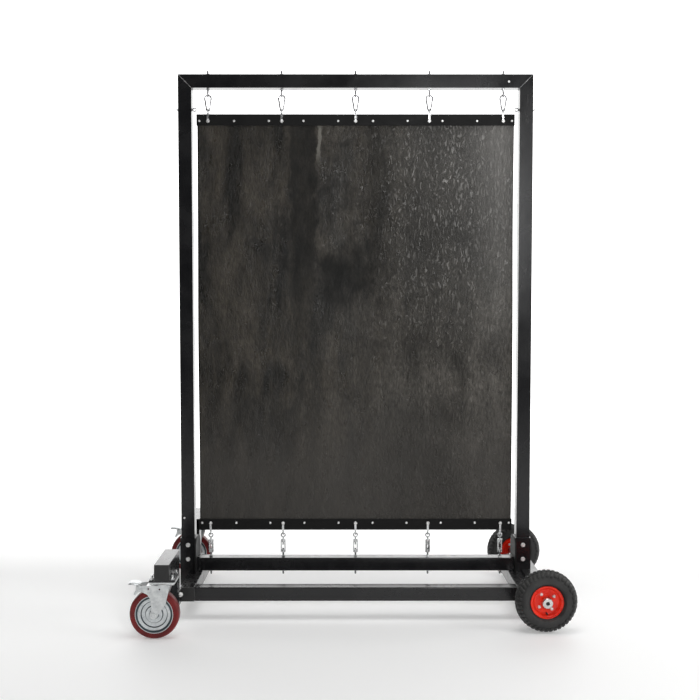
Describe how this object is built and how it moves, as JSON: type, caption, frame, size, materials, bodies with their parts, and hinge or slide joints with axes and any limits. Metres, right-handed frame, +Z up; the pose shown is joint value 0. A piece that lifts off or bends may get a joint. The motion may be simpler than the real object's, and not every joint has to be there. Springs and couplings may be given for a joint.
{
  "type": "rolling backdrop stand",
  "caption": "Wheeled tube frame that holds a stretched backdrop sheet between battens, with hooks above and turnbuckles below.",
  "frame": {"origin": "on the floor under the middle of the frame", "axes": "+X to the right along the sheet, -Y to the front, +Z up"},
  "size_m": [1.8465, 1.148, 2.4],
  "materials": {
    "black_paint": "satin powder coat",
    "sheet": "semi-gloss, mottled",
    "batten_paint": "matt black",
    "bright_zinc": "bright zinc",
    "dark_zinc": "dull zinc",
    "caster_zinc": "passivated zinc",
    "race_red": "matt",
    "red_urethane": "satin",
    "tyre_black": "matt moulded rubber",
    "rim_red": "gloss",
    "hub_steel": "turned",
    "cap_plastic": "satin"
  },
  "bodies": {
    "frame": {"adapter_plates": "black_paint", "axle_housing": "black_paint", "backdrop_sheet": "sheet", "batten_bolts": "bright_zinc", "batten_rivets": "bright_zinc", "batten_straps": "bright_zinc", "bottom_front_batten": "batten_paint", "carabiner_hooks": "bright_zinc", "caster_plate_bolts": "bright_zinc", "caster_plate_nuts": "bright_zinc", "caster_top_plates": "caster_zinc", "eye_bolt_nuts": "bright_zinc", "frame_bolts": "bright_zinc", "front_outrigger": "black_paint", "front_rail": "black_paint", "left_cross_member": "black_paint", "left_socket": "black_paint", "left_upright": "black_paint", "mid_rail": "black_paint", "rail_brackets": "black_paint", "rear_battens": "batten_paint", "rear_outrigger": "black_paint", "rear_rail": "black_paint", "right_cross_member": "black_paint", "right_socket": "black_paint", "right_upright": "black_paint", "screw_eyes": "bright_zinc", "side_eye_bolts": "dark_zinc", "side_plates": "black_paint", "swivel_races": "race_red", "tension_rods": "dark_zinc", "top_beam": "black_paint", "top_eye_bolts": "dark_zinc", "top_front_batten": "batten_paint", "tube_caps": "cap_plastic", "wheel_axle": "hub_steel"},
    "front_caster": {"front_fork": "caster_zinc"},
    "front_caster_wheel": {"front_wheel_core": "caster_zinc", "front_tread": "red_urethane"},
    "front_brake": {"front_brake_pedal": "caster_zinc"},
    "front_wheel": {"front_tyre": "tyre_black", "front_rim": "rim_red", "front_hub": "hub_steel"},
    "rear_caster": {"rear_fork": "caster_zinc"},
    "rear_caster_wheel": {"rear_wheel_core": "caster_zinc", "rear_tread": "red_urethane"},
    "rear_brake": {"rear_brake_pedal": "caster_zinc"},
    "rear_wheel": {"rear_tyre": "tyre_black", "rear_rim": "rim_red", "rear_hub": "hub_steel"},
    "hook_gate_1": {"carabiner_gate_1": "bright_zinc"},
    "buckle_1": {"turnbuckle_1": "bright_zinc"},
    "hook_gate_2": {"carabiner_gate_2": "bright_zinc"},
    "buckle_2": {"turnbuckle_2": "bright_zinc"},
    "hook_gate_3": {"carabiner_gate_3": "bright_zinc"},
    "buckle_3": {"turnbuckle_3": "bright_zinc"},
    "hook_gate_4": {"carabiner_gate_4": "bright_zinc"},
    "buckle_4": {"turnbuckle_4": "bright_zinc"},
    "hook_gate_5": {"carabiner_gate_5": "bright_zinc"},
    "buckle_5": {"turnbuckle_5": "bright_zinc"}
  },
  "joints": [
    {"name": "front_caster_swivel", "type": "hinge", "parent": "frame", "child": "front_caster", "pos_m": [-0.786, -0.516, 0.23], "axis": [0, 0, 1], "continuous": true},
    {"name": "front_caster_spin", "type": "hinge", "parent": "front_caster", "child": "front_caster_wheel", "pos_m": [-0.824, -0.516, 0.1015], "axis": [0, 1, 0], "continuous": true},
    {"name": "front_brake_press", "type": "hinge", "parent": "front_caster", "child": "front_brake", "pos_m": [-0.883, -0.516, 0.209], "axis": [0, 1, 0], "range_deg": [-14, 0]},
    {"name": "front_wheel_spin", "type": "hinge", "parent": "frame", "child": "front_wheel", "pos_m": [0.791, -0.441, 0.13], "axis": [0, 1, 0], "continuous": true},
    {"name": "rear_caster_swivel", "type": "hinge", "parent": "frame", "child": "rear_caster", "pos_m": [-0.786, 0.516, 0.23], "axis": [0, 0, 1], "continuous": true},
    {"name": "rear_caster_spin", "type": "hinge", "parent": "rear_caster", "child": "rear_caster_wheel", "pos_m": [-0.824, 0.516, 0.1015], "axis": [0, 1, 0], "continuous": true},
    {"name": "rear_brake_press", "type": "hinge", "parent": "rear_caster", "child": "rear_brake", "pos_m": [-0.883, 0.516, 0.209], "axis": [0, 1, 0], "range_deg": [-14, 0]},
    {"name": "rear_wheel_spin", "type": "hinge", "parent": "frame", "child": "rear_wheel", "pos_m": [0.791, 0.441, 0.13], "axis": [0, 1, 0], "continuous": true},
    {"name": "gate_1_open", "type": "hinge", "parent": "frame", "child": "hook_gate_1", "pos_m": [-0.65209, 0, 2.23752], "axis": [0, 1, 0], "range_deg": [-25, 0], "stiffness_Nm_per_rad": 0.05, "springref_deg": 17.19},
    {"name": "buckle_1_turn", "type": "hinge", "parent": "frame", "child": "buckle_1", "pos_m": [-0.66, 0, 0.258], "axis": [0, 0, 1], "continuous": true},
    {"name": "gate_2_open", "type": "hinge", "parent": "frame", "child": "hook_gate_2", "pos_m": [-0.3221, 0, 2.23752], "axis": [0, 1, 0], "range_deg": [-25, 0], "stiffness_Nm_per_rad": 0.05, "springref_deg": 17.19},
    {"name": "buckle_2_turn", "type": "hinge", "parent": "frame", "child": "buckle_2", "pos_m": [-0.33, 0, 0.258], "axis": [0, 0, 1], "continuous": true},
    {"name": "gate_3_open", "type": "hinge", "parent": "frame", "child": "hook_gate_3", "pos_m": [0.00791, 0, 2.23752], "axis": [0, 1, 0], "range_deg": [-25, 0], "stiffness_Nm_per_rad": 0.05, "springref_deg": 17.19},
    {"name": "buckle_3_turn", "type": "hinge", "parent": "frame", "child": "buckle_3", "pos_m": [0, 0, 0.258], "axis": [0, 0, 1], "continuous": true},
    {"name": "gate_4_open", "type": "hinge", "parent": "frame", "child": "hook_gate_4", "pos_m": [0.33791, 0, 2.23752], "axis": [0, 1, 0], "range_deg": [-25, 0], "stiffness_Nm_per_rad": 0.05, "springref_deg": 17.19},
    {"name": "buckle_4_turn", "type": "hinge", "parent": "frame", "child": "buckle_4", "pos_m": [0.33, 0, 0.258], "axis": [0, 0, 1], "continuous": true},
    {"name": "gate_5_open", "type": "hinge", "parent": "frame", "child": "hook_gate_5", "pos_m": [0.6679, 0, 2.23752], "axis": [0, 1, 0], "range_deg": [-25, 0], "stiffness_Nm_per_rad": 0.05, "springref_deg": 17.19},
    {"name": "buckle_5_turn", "type": "hinge", "parent": "frame", "child": "buckle_5", "pos_m": [0.66, 0, 0.258], "axis": [0, 0, 1], "continuous": true}
  ]
}
